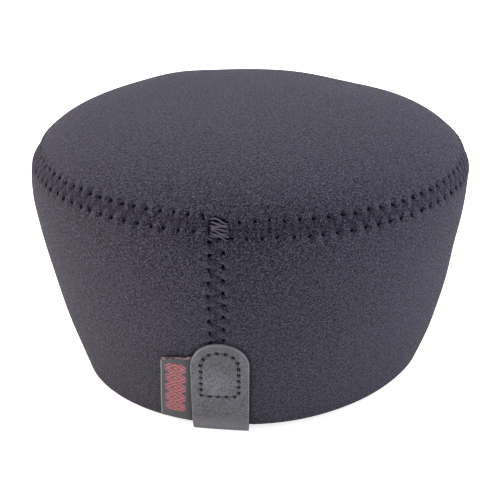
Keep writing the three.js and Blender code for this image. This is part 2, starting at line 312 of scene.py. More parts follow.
def floorPaint():
    glow = (1, 1, 1, 1)
    made = newMaterial("palePaper", (0.92, 0.92, 0.92), 0.9, Specular_IOR_Level=0.1, Emission_Color=glow)
    seen = addNode(made[1], "LightPath")["Is Camera Ray"]
    feed(*made[1:], {"Emission Strength": seen.scaled(0.6, 0.15)})
    return made[0]


jerseyLook = {
    "yarn": (0.0505, 0.0458, 0.0785),
    "gaps": (0.005, 0.0044, 0.0108),
    "worn": (0.0625, 0.0558, 0.0915),
    # how far the painted groove shade darkens sunken yarn towards the gaps' colour
    "shade": 0.8,
    "roughness": 0.85,
    "sheen": 0.19,
    "sheenTint": (0.86, 0.86, 1.0, 1),
    "bump": 0.0003,
}


def jerseyMaterial(name, lean, fineness, flecks):
    look = jerseyLook
    made = newMaterial(
        name, look["yarn"], look["roughness"], Sheen_Weight=look["sheen"], Sheen_Roughness=0.35,
        Sheen_Tint=look["sheenTint"], Specular_IOR_Level=0.12,
    )
    tree = made[1]
    laid = {"Vector": uvPlace(tree), "Angle": math.radians(lean)}
    cloth = addNode(tree, "VectorRotate", laid, rotation_type="Z_AXIS")[0]
    knit = useGroup(tree, knitLoops, Cloth=cloth, Body=bodyPlace(tree), Fineness=fineness, Flecks=flecks)
    worn = knit["Mottle"].blend(look["yarn"], look["worn"])
    colour = knit["Yarn"].blend(look["gaps"], worn).tint(knit["Glint"])
    depth = partsOf(tree, uvPlace(tree, "pressed"))["X"]
    paintedGrooveShade = depth.spread(0.08, 0.42) * look["shade"]  # painted shade: the yarn is darkened where the relief sinks, in seam grooves, needle holes, the bartack and along the tab's outline
    colour = paintedGrooveShade.blend(colour, look["gaps"])
    return paint(made, colour, knit["Height"], look["bump"], knit["Yarn"].spread(0.0, 1.0, 0.95, 0.74))


foamLook = {
    "skin": (0.016, 0.016, 0.018),
    "cellWalls": (0.026, 0.026, 0.029),
    "hollows": (0.007, 0.007, 0.008),
    "dust": (0.02, 0.02, 0.022),
    "bump": 0.00012,
}


def foamMaterial():
    look = foamLook
    made = newMaterial("cutFoam", look["skin"], 0.9, Specular_IOR_Level=0.3)
    tree = made[1]
    cells = addNode(tree, "TexVoronoi", {"Vector": bodyPlace(tree), "Scale": 3.4}, feature="F1")
    hollow, grain = cells["Distance"].spread(0.15, 0.6), grainOn(tree, 5.0, 9.0)
    colour = grain["Tone"].blend(hollow.blend(look["cellWalls"], look["hollows"]), look["dust"])
    return paint(made, colour, hollow.scaled(-1.0, grain["Height"]), look["bump"])


liningLook = {
    "skin": (0.022, 0.022, 0.025),
    "valleys": (0.013, 0.013, 0.015),
    "crests": (0.030, 0.030, 0.034),
    "pebbles": (0.034, 0.034, 0.038),
    "bump": 0.0002,
}


def liningMaterial():
    look = liningLook
    made = newMaterial("gripLining", look["skin"], 0.62, Specular_IOR_Level=0.4)
    tree = made[1]
    grain = grainOn(tree, 1.6, 5.0)
    ribs = {"Wale": 1.3, "Course": 1.1, "Unevenness": 0.3}
    knit = useGroup(tree, knitLoops, Cloth=uvPlace(tree), Body=bodyPlace(tree), **ribs)
    colour = grain["Tone"].blend(knit["Yarn"].blend(look["valleys"], look["crests"]), look["pebbles"])
    height = knit["Height"].scaled(0.6, grain["Height"])
    return paint(made, colour, height, look["bump"], grain["Tone"].spread(0.0, 1.0, 0.5, 0.75))


grainedLooks = {  # painted shade: a near-black fibre sheet put down deep pits, and the stiff sheet in the crown
    "paintedPitShade": {
        "skin": (0.005, 0.004, 0.008), "low": (0.003, 0.0025, 0.005), "high": (0.009, 0.008, 0.014),
        "roughness": 0.95, "specular": 0.05, "grain": (5.0, 10.0), "bump": 0.0001,
    },
    "stiffSheet": {
        "skin": (0.02, 0.02, 0.023), "low": (0.014, 0.014, 0.016), "high": (0.028, 0.028, 0.032),
        "roughness": 0.45, "specular": 0.5, "grain": (3.0, 7.0), "bump": 0.00005, "polish": (0.4, 0.6),
    },
}


def grainedMaterial(name):
    look = grainedLooks[name]
    made = newMaterial(name, look["skin"], look["roughness"], Specular_IOR_Level=look["specular"])
    grain = grainOn(made[1], *look["grain"])
    polish = grain["Tone"].spread(0.0, 1.0, *look["polish"]) if "polish" in look else None
    colour = grain["Tone"].blend(look["low"], look["high"])
    return paint(made, colour, grain["Height"], look["bump"], polish)


def threadMaterial(name, lit, shaded):
    made = newMaterial(name, lit, 0.45, Specular_IOR_Level=0.16)
    twist = useGroup(made[1], twistedPlies, Cloth=uvPlace(made[1]))
    grain = grainOn(made[1], 6.0, 12.0)
    colour = grain["Tone"].blend(twist["Shade"].blend(shaded, lit), lit)
    return paint(made, colour, grain["Height"].scaled(0.25, twist["Height"]), 0.00008)


tabLook = {
    "face": (0.121, 0.123, 0.143),
    "low": (0.024, 0.0245, 0.030),
    "edge": (0.19, 0.193, 0.215),
    "worn": 0.46,  # how much paler the strip is painted towards its fold: a painted highlight from the bright floor
    "sewnTop": 0.83,  # painted shade and light: the sewn patch is a little darker at its top and paler at its foot
    "sewnFoot": 1.3,
    "bump": 0.0002,
}


def tabMaterial(name, isEdge):
    look = tabLook
    low, face = (look["face"], look["edge"]) if isEdge else (look["low"], look["face"])
    made = newMaterial(name, face, 0.6, Specular_IOR_Level=0.32, Sheen_Weight=0.05)
    tree = made[1]
    grain = grainOn(tree, 2.2, 2.0)
    # painted highlight: the strip is paler towards its fold, where the bright floor lights it
    worn = partsOf(tree, bodyPlace(tree))["Z"].spread(8.0, 1.0) * look["worn"]
    tone = worn.blend(grain["Tone"].blend(low, face), look["edge"])
    place = partsOf(tree, uvPlace(tree))
    # painted shade at the sewn patch's top and painted light at its foot
    sewn = abs(place["X"]).spread(6.1, 5.6) * place["Y"].spread(22.1, 21.6)
    shade = place["Y"].spread(3.0, 23.0, look["sewnTop"], look["sewnFoot"])
    colour = tone.tint(sewn.scaled(shade - 1.0, 1.0))
    return paint(made, colour, grain["Height"], look["bump"], grain["Tone"].spread(0.0, 1.0, 0.5, 0.72))


labelLook = {
    "ground": (0.0458, 0.0502, 0.0607),
    "shade": (0.020, 0.023, 0.028),
    "figure": (0.58, 0.14, 0.18),
    "figureShade": (0.22, 0.04, 0.05),
    "selvage": (0.15, 0.16, 0.175),
    "warp": 0.42,
    "weft": 0.5,
    "middle": 5.2,  # from the fold to the line of the woven figures
    "figurePitch": 4.5,
    "figureHalf": 3.6,
    "figureFrom": 6.0,
    "figureTo": 28.5,
    "bump": 0.00009,
}


def ribbonMaterial():  # cloth x runs from the fold, y up the ribbon
    look = labelLook
    made = newMaterial("wovenRibbon", look["ground"], 0.7, Sheen_Weight=0.2, Specular_IOR_Level=0.3)
    place = partsOf(made[1], uvPlace(made[1]))
    x, y, warp, weft = place["X"], place["Y"], look["warp"], look["weft"]
    crossing = (x * (2 * math.pi / warp)).math("SINE") * (y * (2 * math.pi / weft)).math("SINE")
    weave = crossing.scaled(0.5, 0.5)
    # nested diamonds in a column, stepped by the threads that they are woven from
    stepX, stepY = x.math("SNAP", warp / 2), y.math("SNAP", weft / 2)
    offX = abs(stepX - look["middle"])
    turn = ((stepY - look["figureFrom"]) / look["figurePitch"]).math("FRACT")
    reach = offX + abs(turn - 0.5) * (1.62 * look["figurePitch"])
    core, ring = reach < 1.15, abs(reach - 2.75) < 0.68
    zigzag = (abs(reach - 4.75) < 0.55) * (offX < look["figureHalf"])
    within = (stepY > look["figureFrom"]) * (stepY < look["figureTo"])
    figure = core.math("MAXIMUM", ring).math("MAXIMUM", zigzag) * within
    ground = weave.blend(look["shade"], look["ground"])
    ground = x.spread(8.4, 10.6).blend(ground, look["shade"])  # painted shadow where it runs under the tab
    red = weave.blend(look["figureShade"], look["figure"])
    woven = (abs(x) < 0.5).blend(figure.blend(ground, red), look["selvage"])
    dark = grainOn(made[1], 4.0, 6.0)["Tone"].blend((0.62, 0.62, 0.62), (1, 1, 1))
    return paint(made, woven.tint(dark), figure.scaled(0.8, weave), look["bump"])


def frayedMaterial():
    made = newMaterial("ribbonCutEdge", (0.33, 0.24, 0.26), 0.85, Sheen_Weight=0.3)
    grain = grainOn(made[1], 5.0, 8.0)
    tufts = noise(made[1], bodyPlace(made[1]), 0.5, 3.0)["Fac"]
    tufted = grain["Tone"].scaled(0.15, tufts).spread(0.48, 0.68)
    return paint(made, tufted.blend((0.035, 0.022, 0.03), (0.34, 0.21, 0.255)), grain["Height"], 0.0001)


finishes = {
    "wallJersey": jerseyMaterial("wallKnit", 24, 1.0, 3.4),
    "crownJersey": jerseyMaterial("crownKnit", 12, 0.88, 2.4),
    "foam": foamMaterial(),
    "lining": liningMaterial(),
    "paintedPitShade": grainedMaterial("paintedPitShade"),
    "stiffener": grainedMaterial("stiffSheet"),
    "thread": threadMaterial("seamThread", (0.038, 0.031, 0.058), (0.010, 0.008, 0.015)),
    "tackThread": threadMaterial("tackThread", (0.080, 0.073, 0.108), (0.010, 0.008, 0.015)),
    "tabThread": threadMaterial("tabThread", (0.066, 0.066, 0.075), (0.022, 0.022, 0.026)),
    "tab": tabMaterial("tabFace", False),
    "tabEdge": tabMaterial("tabCutEdge", True),
    "ribbon": ribbonMaterial(),
    "ribbonEdge": frayedMaterial(),
}
print("finishes ready")


# the shell's surface

shell = {
    "rimRadius": 61.9,
    "widestRadius": 76.2,
    "widestHeight": 69.7,
    "flareHeight": 43.0,
    "crownHeight": 93.6,
    "shoulderRise": 17.4,
    "crownFlatRadius": 45.9,
    "rimAbove": 1.9,  # the rim over the surface that the cap stands on
    "rimWarp": 0.0343,  # the soft rim dips on the left and the crown leans a little
    "crownLean": 0.0121,
    "rimRise": 0.3327,  # how far up the sheet's slope a level cut climbs for each millimetre of depth
    "sheet": 3.2,
    "outerFace": -0.5,  # the jersey's back, the foam's two faces, and the lining's back
    "foam": (-0.56, -2.74),
    "liningBack": -2.8,
    "stiffener": (-2.9, -3.9),
    "stiffenerRadius": 56,
    "clothRadius": 76,  # the wall's cloth is laid out as if it had this radius all the way up
    "meanRadius": 70,
    "wayRound": 478,
    "dents": [  # azimuth and its spread, height and its spread, how far out
        (-80, 35, 64, 7.5, 0.45), (-86, 32, 77, 3.5, -0.55), (-76, 35, 36, 13, -0.42), (-72, 35, 8, 13, -0.45),
        (76, 35, 46, 12, -0.95), (82, 30, 64, 8, -0.2), (70, 28, 12, 9, 0.45),
    ],
    "crownSwells": [(-28, 12, 0.85), (38, 15, -1.15)],  # x and its spread, how far up the crown's back goes
    "rimSwells": [(8, 22, -0.3), (56, 12, 0.45)],  # azimuth and its spread, how far up the rim goes
}


def smooth(value):
    value = np.clip(value, 0, 1)
    return value * value * (3 - 2 * value)


def bell(value):
    return np.exp(-value ** 2)


def traceSection():
    s = shell
    t = np.linspace(0, 1, 1201)[:, None]
    wide, high, crown = s["widestRadius"], s["widestHeight"], s["crownHeight"]
    corners = (
        (s["rimRadius"], 0), (wide, s["flareHeight"]), (wide, high),
        (wide, high + s["shoulderRise"]), (s["crownFlatRadius"], crown), (0, crown),
    )
    a, b, c, d, e, f = (np.array(corner) for corner in corners)
    wall = (1 - t) ** 2 * a + 2 * (1 - t) * t * b + t ** 2 * c
    dome = (1 - t) ** 3 * c + 3 * (1 - t) ** 2 * t * d + 3 * (1 - t) * t ** 2 * e + t ** 3 * f
    line = np.vstack([wall, dome[1:]])
    arc = runAlong(line)
    slope = np.gradient(line, arc, axis=0)
    return arc, line, slope / np.hypot(*slope.T)[:, None]


def runAlong(line):  # the way from its first point to each point of a flat line
    return np.concatenate([[0], np.cumsum(np.hypot(*np.diff(line, axis=0).T))])


sectionArc, sectionLine, sectionSlope = traceSection()
topArc = sectionArc[-1]


def sectionAt(arc, lift=0.0):
    arc = np.asarray(arc, float)
    slopeR, slopeZ = (np.interp(arc, sectionArc, sectionSlope[:, i]) for i in (0, 1))
    below = np.minimum(arc, 0)
    r = np.interp(arc, sectionArc, sectionLine[:, 0]) + below * slopeR + lift * slopeZ
    z = np.interp(arc, sectionArc, sectionLine[:, 1]) + below * slopeZ - lift * slopeR
    return r, z


def radiusAt(arc):
    return sectionAt(np.maximum(arc, 0))[0]


def apart(azimuth, other):
    return (azimuth - other + 180) % 360 - 180


def turned(azimuth, r, z):  # a section point swung round the axis, with the cloth's own unevenness
    a = np.radians(azimuth)
    up = np.clip(z / shell["widestHeight"], 0, 1)
    wall = np.sin(np.pi * np.clip(0.12 + 0.88 * up, 0, 1))
    r = r + wall * (0.24 * np.sin(5 * a + 1.3 + 0.03 * z) + 0.14 * np.sin(9 * a - 0.7 - 0.06 * z))
    for at, wide, height, tall, amount in shell["dents"]:
        r = r + amount * np.exp(-(apart(azimuth, at) / wide) ** 2 - ((z - height) / tall) ** 2)
    x, y = r * np.sin(a), -r * np.cos(a)
    back = smooth(y / 30) * smooth((z - 74) / 10)
    z = z + 0.22 * smooth((60 - r) / 30) * np.sin(0.07 * x + 1.1) * np.cos(0.06 * y - 0.4) * (z > 60)
    for at, wide, amount in shell["crownSwells"]:
        z = z + amount * back * bell((x - at) / wide)
    for at, wide, amount in shell["rimSwells"]:
        z = z + amount * (1 - up) ** 3 * bell(apart(azimuth, at) / wide)
    z = z + shell["rimAbove"] + ((1 - up) * shell["rimWarp"] - up * shell["crownLean"]) * x
    return np.stack(np.broadcast_arrays(x, y, z), -1) / 1000


def place(azimuth, arc, lift=0.0):
    return turned(azimuth, *sectionAt(arc, lift))


def azimuthOf(across, arc):  # of a line that runs straight up the front
    return np.degrees(across / radiusAt(arc))


# mesh building

def closed(ids):  # a grid whose last column is its first one
    return np.hstack([ids, ids[:, :1]])


class Skin:
    def __init__(self):
        self.points, self.cloth, self.own, self.pressed = [], [], [], []
        self.faces, self.finish, self.total = [], [], 0

    def add(self, points, cloth, own=-1, pressed=0.0):  # own is a finish that single points ask for, or -1
        shape = points.shape[:-1]
        count = int(np.prod(shape))
        ids = self.total + np.arange(count).reshape(shape)
        self.points.append(points.reshape(-1, 3))
        self.cloth.append(np.broadcast_to(cloth, (*shape, 2)).reshape(-1, 2))
        self.own.append(np.broadcast_to(own, shape).reshape(-1))
        self.pressed.append(np.broadcast_to(pressed, shape).reshape(-1))
        self.total += count
        return ids

    def quads(self, ids, finish=0):
        corners = np.stack([ids[:-1, :-1], ids[:-1, 1:], ids[1:, 1:], ids[1:, :-1]], -1).reshape(-1, 4)
        self.faces += corners.tolist()
        self.finish += [finish] * len(corners)

    def face(self, ids, finish=0):
        self.faces.append([int(i) for i in ids])
        self.finish.append(finish)

    def ladder(self, coarse, fine, at):  # joins a coarse line to a fine one
        for k in range(len(at) - 1):
            self.face([coarse[k], coarse[k + 1], *fine[at[k]:at[k + 1] + 1][::-1]])

    def edges(self, front, back, endFinish=0):  # closes the four sides between two grids
        for end in (0, -1):
            self.quads(np.stack([front[end], back[end]]), endFinish)
        for end in (0, -1):
            self.quads(np.stack([front[:, end], back[:, end]]))

    def coarse(self, ids, rows, columns, top, sides=0):  # borders keep the finer neighbours' points
        lastColumn = len(columns) - 2
        self.quads(ids[np.ix_(rows[1 if top else 0:], columns[sides:len(columns) - sides])])
        for i in range(len(rows) - 1):
            for j in range(len(columns) - 1):
                onTop, onLeft, onRight = top and i == 0, sides and j == 0, sides and j == lastColumn
                if not (onTop or onLeft or onRight):
                    continue
                a, b, c, d = rows[i], rows[i + 1], columns[j], columns[j + 1]
                loop = list(ids[a, c:d:top]) if onTop else [ids[a, c]]
                loop += list(ids[a:b, d]) if onRight else [ids[a, d]]
                loop += [ids[b, d], ids[b, c]]
                loop += list(ids[a + 1:b, c][::-1]) if onLeft else []
                self.face(loop)

    def build(self, name, materials, sharp=50):
        points, cloth = np.vstack(self.points), np.vstack(self.cloth)
        own = np.concatenate(self.own)
        if own.max() > 0:
            most = [own[face].max() for face in self.faces]
            asked = [m > 0 and (own[face] == m).mean() >= 0.5 for m, face in zip(most, self.faces)]
            self.finish = [m if a else f for m, a, f in zip(most, asked, self.finish)]
        flat = np.array([i for face in self.faces for i in face])
        used, where = np.unique(flat, return_inverse=True)
        starts = np.concatenate([[0], np.cumsum([len(face) for face in self.faces])])
        where = where.tolist()
        faces = [where[a:b] for a, b in zip(starts[:-1], starts[1:])]
        mesh = bpy.data.meshes.new(name)
        mesh.from_pydata(points[used].tolist(), [], faces)
        mesh.uv_layers.new(name="cloth").data.foreach_set("uv", cloth[flat].ravel())
        pressed = np.concatenate(self.pressed)
        if pressed.any():
            depth = np.stack([pressed, 0 * pressed], -1)
            mesh.uv_layers.new(name="pressed").data.foreach_set("uv", depth[flat].ravel())
        for material in materials:
            mesh.materials.append(finishes[material])
        mesh.polygons.foreach_set("material_index", self.finish)
        shape = bmesh.new()
        shape.from_mesh(mesh)
        bmesh.ops.recalc_face_normals(shape, faces=shape.faces)
        shape.to_mesh(mesh)
        shape.free()
        mesh.shade_smooth()
        mesh.set_sharp_from_angle(angle=math.radians(sharp))
        print(f"{name}: {len(faces)} faces")
        return newObject(name, mesh)


# seams

seam = {
    "arc": 77.72,  # where crown and wall meet
    "start": -7.7,  # azimuth of the side seam, where the crown seam begins and ends
    "firstHole": 23.2,
    "pitch": 3.4795,  # degrees from one lower hole to the next
    "lowerStep": 4.6,  # the same in millimetres, below the seam and above it
    "upperStep": 4.58,
    "reach": 2.42,  # from the butted edges to a needle hole
    "holeDepth": 1.5,
    "holeHalfWidth": 0.42,
    "holeHalfLength": 0.66,
    "grooveDepth": 0.62,
    "buttDepth": 0.13,
    "pillow": 0.52,
    "pull": 0.12,
    "darkBelow": -0.62,  # relief below which the painted pit shade replaces the jersey
    "rimAzimuth": -10.2,
    "drawn": 1.45,  # how far a panel's back gives way to the foam beside a seam
    "drawnLining": 0.6,
    "drawnFoam": (-1.5, 0.6),  # how far the foam's two faces are pressed in there
    "drawnFade": 2.5,
}
sideSeam = {"reach": 2.15, "pitch": 4.52, "leftTop": 72.6, "rightTop": 70.34, "count": 16, "holeSize": 0.84}
bartack = {
    "across": -9.6,
    "width": 5.5,
    "bottom": 74.7,
    "top": 79.7,
    "bars": 7,
    "slant": 1.05,
    "thread": 0.24,
    "sway": 0.3,  # how far a bar strays from its straight line
    "radius": 75.8,  # of the shell there
}
random = np.random.default_rng(11)


def unevenness(count):
    return {
        "along": random.normal(0, 0.16, count),
        "across": random.normal(0, 0.13, count),
        "depth": 1 + random.normal(0, 0.14, count),
    }


jitter = {side: unevenness(120) for side in ("lower", "upper", "left", "right")}


def pick(side, what, cell):
    return jitter[side][what][np.asarray(cell, int) % 120]


# the pull tab's outline, which also marks the wall under it

tab = {
    "centre": (-11.02, -10.38),  # at the rim and at the top: the strip leans a little
    "halfWidth": 9.2,
    "top": 37.35,
    "thickness": 1.05,
    "clear": 0.14,
    "edgeRound": 0.2,
    "foldRadius": 0.56,
    "foldShift": 0.9,
    "flatness": 0.62,  # the stiff strip doesn't quite follow the round rim
    "overLabel": 0.42,
    "overSeam": 0.12,
    "mark": 0.34,
}


def tabCentre(arc):
    low, high = tab["centre"]
    return azimuthOf(low + (high - low) * arc / tab["top"], arc)


def seamArc(azimuth):
    turn = (azimuth - seam["start"]) / 360
    near = np.minimum(azimuth - seam["start"], seam["start"] + 360 - azimuth)
    return seam["arc"] - 0.377 * np.sin(np.radians(azimuth)) - 0.668 * (1 - 2 * turn) * smooth(near / 2.5)


def sideAzimuth(arc):
    return seam["rimAzimuth"] + (seam["start"] - seam["rimAzimuth"]) * arc / seam["arc"]


def seamRelief(edge, phase, pitch, side, reach, size=1.0):
    cell = np.round(phase)
    along = (phase - cell) * pitch - pick(side, "along", cell)
    across = edge - reach - pick(side, "across", cell)
    lean = pitch / 4 * np.clip((reach - edge) / reach, 0, 1)
    beside = np.minimum(np.abs(along - lean), np.abs(along + lean))
    wide, long = along / seam["holeHalfWidth"] / size, across / seam["holeHalfLength"] / size
    lift = -seam["holeDepth"] * pick(side, "depth", cell) * np.exp(-(wide ** 2 + long ** 2) ** 1.7)
    nearHole = smooth(edge / reach)  # the thread sinks in towards its needle holes
    groove = smooth((reach + 0.4 - edge) / 0.6) * bell(beside / (0.32 + 0.08 * nearHole))
    lift -= seam["grooveDepth"] * (0.45 + 0.55 * nearHole) * groove
    lift -= seam["buttDepth"] * bell(edge / 0.5)
    between = 0.5 - 0.5 * np.cos(2 * np.pi * phase)
    lift += seam["pillow"] * between * bell((edge - reach - 0.3) / 1.8)
    lift -= seam["pull"] * bell((edge - 0.9 * reach) / 2.6)
    return lift


def tackRelief(azimuth, arc):  # the bartack presses in, and the cloth puckers round it
    perRadian = 57.3  # degrees
    across = (azimuth - azimuthOf(bartack["across"], arc)) / perRadian * bartack["radius"]
    middle, half = (bartack["bottom"] + bartack["top"]) / 2, bartack["width"] / 2
    away = np.abs(arc - middle)
    inside = smooth((half + 0.5 - np.abs(across)) / 0.8) * smooth((3.6 - away) / 0.8)
    around = np.hypot(across / 1.25, arc - middle)
    ray = np.cos(13 * np.arctan2(across, arc - middle - 0.6) + 0.8)
    ends = bell((np.abs(across) - half - 0.2) / 0.5) * smooth((3.5 - away) / 0.5)
    comb = 0.75 + 0.25 * np.cos(2 * np.pi * (arc - bartack["top"] + 0.2 * across) / 0.8)
    # the inside sinks past the painted-shade depth, so painted pit shade darkens the cloth between the bars
    return -0.64 * inside - 0.85 * ends * comb + 0.17 * ray * bell((around - 4.6) / 1.9)


# the line is also darkened by the jersey's painted groove shade, standing in for the tab's contact shadow
def tabMark(azimuth, arc):  # the sewn tab presses a line into the cloth along its outline
    half = tab["halfWidth"]
    across = np.radians(azimuth - tabCentre(arc)) * sectionAt(arc)[0]
    roundFrom = tab["top"] - half
    beyond = np.where(arc > roundFrom, np.hypot(across, arc - roundFrom), np.abs(across)) - half
    return -tab["mark"] * bell((beyond - 0.25) / 0.55)


def wrapped(azimuth):
    return azimuth - 360 * (azimuth > 180)


def wallGrid(columns, rows, gap=0.04):
    turn = np.arange(columns + 1)[None] / columns
    nominal = rows[:, None]
    far = 360 * np.minimum(turn, 1 - turn)
    lean = (sideAzimuth(nominal) - seam["start"]) * (1 - smooth((far - 12) / 50))
    azimuth = seam["start"] + gap + (360 - 2 * gap) * turn + lean
    arc = nominal + (seamArc(seam["start"] + 360 * turn) - seam["arc"]) * smooth(nominal / 70)
    cloth = np.stack(np.broadcast_arrays(np.radians(azimuth) * shell["clothRadius"], arc), -1)
    return turn, nominal, far, azimuth, arc, cloth


def wallRelief(turn, nominal, far, azimuth):
    edge = seam["arc"] - nominal
    phase = (azimuth - seam["firstHole"]) / seam["pitch"]
    lift = seamRelief(edge, phase, seam["lowerStep"], "lower", seam["reach"])
    beside = np.radians(far) * sectionAt(nominal)[0]
    for side, here in (("right", turn < 0.5), ("left", turn >= 0.5)):
        phase = (sideSeam[side + "Top"] - nominal) / sideSeam["pitch"]
        relief = seamRelief(beside, phase, sideSeam["pitch"], side, sideSeam["reach"], sideSeam["holeSize"])
        lift = lift + relief * here * smooth((9 - beside) / 3) * smooth((edge - 1.0) / 2)
    azimuth = wrapped(azimuth)
    return lift + tackRelief(azimuth, seam["arc"] - edge) + tabMark(azimuth, nominal)


def bandEdges(outward, rest):  # rows beside the crown seam: close together on the face, fewer on the lining
    if outward < 0:
        return np.concatenate([[0.05, 0.35, 0.75], np.arange(1.2, 4.3, 0.5), rest])
    return np.concatenate([[0.05, 0.25, 0.5, 0.8, 1.1], np.arange(1.4, 4.3, 0.3), rest])


def rimClimb(nominal, lift):  # keeps the rim's cut level
    return shell["rimRise"] * lift * (1 - smooth(nominal / 8))


def drawnIn(distance, within):  # 1 beside a seam, where the plies are drawn together, and 0 away from it
    return smooth((within - distance) / seam["drawnFade"])


def drawnSide(far, within):  # the same beside the side seam
    return drawnIn(np.radians(far) * shell["meanRadius"], within)


def addFace(skin, points, cloth, relief, outward):
    # painted shade: faces sunk deeper than this get the near-black pit material
    dark = (relief < seam["darkBelow"]) & (outward > 0)
    return skin.add(points, cloth, np.where(dark, 1, -1), -relief)


def wallPanel(name, material, face, back, outward, perCycle, step):
    columns, fineWidth = 104 * perCycle, 13.8  # fine columns beside the side seam
    zone = step * round(fineWidth / (shell["wayRound"] / columns) / step)
    rest = [4.5, 5.1, 5.8, 6.6, 7.6] if outward > 0 else np.arange(4.8, 8, 0.9)
    band = seam["arc"] - bandEdges(outward, rest)
    lower = np.linspace(band[-1] - 0.45, 0.75, 136 if outward > 0 else 81)
    lip = np.array([0.45, 0.2, 0.06, 0.0])
    rows = np.concatenate([band, lower, lip])
    turn, nominal, far, azimuth, arc, cloth = wallGrid(columns, rows)
    relief = wallRelief(turn, nominal, far, azimuth)
    roll = 0.2 * (1 - smooth(nominal / 0.5))
    lift = face + (relief - roll if outward > 0 else -0.55 * relief)
    skin = Skin()
    ids = addFace(skin, place(azimuth, arc + rimClimb(nominal, face), lift), cloth, relief, outward)
    start = len(band)  # first lower row
    skin.quads(ids[:start + 1])
    lipStart = start + len(lower)
    rowsAt = np.concatenate([np.arange(start, lipStart, step), lipStart + np.arange(len(lip))])
    middle = np.arange(zone, columns - zone + 1, step)
    skin.quads(ids[start:, :zone + 1])
    skin.quads(ids[start:, columns - zone:])
    skin.coarse(ids, rowsAt, middle, 1, 1)
    few = np.concatenate([np.arange(zone), middle, np.arange(columns - zone + 1, columns + 1)])
    backRows = np.unique(np.concatenate([[0], np.arange(3, start, 4), rowsAt]))
    pinch = back - outward * seam["drawn"] * drawnIn(seam["arc"] - nominal, 8.0)
    if outward > 0:
        pinch = np.minimum(pinch, back - seam["drawn"] * drawnSide(far, 8.5))
    else:
        pinch = np.maximum(pinch, back + seam["drawnLining"] * drawnSide(far, 8.5))
    allBack = place(azimuth, arc + rimClimb(nominal, back), np.broadcast_to(pinch, azimuth.shape))
    backIds = skin.add(allBack[np.ix_(backRows, few)], cloth[np.ix_(backRows, few)])
    skin.quads(backIds)
    skin.ladder(backIds[0], ids[0], few)
    skin.quads(np.stack([ids[-1, few], backIds[-1]]))
    for end in (0, -1):
        skin.ladder(backIds[:, end], ids[:, end], backRows)
    return skin.build(name, [material, "paintedPitShade"])


def wallFoamPanel():
    top = seam["arc"] - np.array([0.008, 1, 2, 3, 4, 5, 6, 7, 8, 9.5])
    rows = np.concatenate([top, np.linspace(66, 1.5, 44), [0.6, 0.15, 0.0]])
    # the foam's ends meet, so no light comes through
    nominal, far, azimuth, arc, cloth = wallGrid(416, rows, 0.003)[1:]
    deep = np.maximum(drawnIn(seam["arc"] - nominal, 8.5), drawnSide(far, 9))
    skin = Skin()
    sides = []
    for lift, inset in zip(shell["foam"], seam["drawnFoam"]):
        sides.append(skin.add(place(azimuth, arc + rimClimb(nominal, lift), lift + inset * deep), cloth))
        skin.quads(sides[-1])
    skin.edges(*sides)
    return skin.build("wallFoam", ["foam"])


def crownGrid(columns, rows):
    azimuth = seam["start"] + 360 * (np.arange(columns)[None] / columns)
    nominal = rows[:, None]
    toTop = np.clip((topArc - nominal) / (topArc - seam["arc"]), 0, 1)
    arc = nominal + (seamArc(azimuth) - seam["arc"]) * smooth(1.6 * toTop - 0.6)
    radius, a = topArc - arc, np.radians(azimuth)
    return nominal, azimuth, arc, np.stack([radius * np.sin(a), -radius * np.cos(a)], -1)


def overStiffener(arc):
    return 1.25 * smooth((arc - (topArc - shell["stiffenerRadius"]) + 12) / 9)


def crownPanel(name, material, face, back, outward, perCycle, depthAt=None):
    columns = 104 * perCycle
    rest = np.arange(4.4, 8.3, 0.5) if outward > 0 else np.arange(4.8, 8.3, 0.9)
    band = seam["arc"] + bandEdges(outward, rest)
    rows = np.concatenate([band, np.linspace(band[-1] + 0.8, topArc - 0.4, 52)])
    nominal, azimuth, arc, cloth = crownGrid(columns, rows)
    edge = nominal - seam["arc"]
    phase = (azimuth - seam["firstHole"]) / seam["pitch"] - 0.5
    relief = seamRelief(edge, phase, seam["upperStep"], "upper", seam["reach"]) * smooth((14 - edge) / 5)
    relief = relief + tackRelief(wrapped(azimuth), nominal)
    step = np.zeros_like(nominal) if depthAt is None else -depthAt(nominal)
    lift = face + step + (relief if outward > 0 else -0.55 * relief)
    skin = Skin()
    loop = closed(addFace(skin, place(azimuth, arc, lift), cloth, relief, outward))
    start = len(band) - 1
    skin.quads(loop[:start + 1])
    # towards the middle every other line of points runs out
    cycle = perCycle // 4
    finer, first = 1, start
    for last, keep in ((start + 24, 2 * cycle), (start + 38, 4 * cycle), (len(rows) - 1, 8 * cycle)):
        skin.coarse(loop, np.arange(first, last + 1), np.arange(0, columns + 1, keep), finer)
        finer, first = keep, last
    skin.face(loop[-1, :-1:finer])
    drawn = seam["drawn" if outward > 0 else "drawnLining"]
    pinch = back + step - outward * drawn * drawnIn(edge, 8.0)
    backRows = np.concatenate([np.arange(0, start, 4), np.arange(start, len(rows))])
    few = np.arange(0, columns + 1, 2 * cycle)
    kept = np.ix_(backRows, few[:-1])
    backIds = skin.add(place(azimuth, arc, pinch + 0 * azimuth)[kept], cloth[kept])
    backLoop = closed(backIds)
    skin.quads(backLoop)
    skin.ladder(backLoop[0], loop[0], few)
    skin.face(backIds[-1])
    return skin.build(name, [material, "paintedPitShade"])


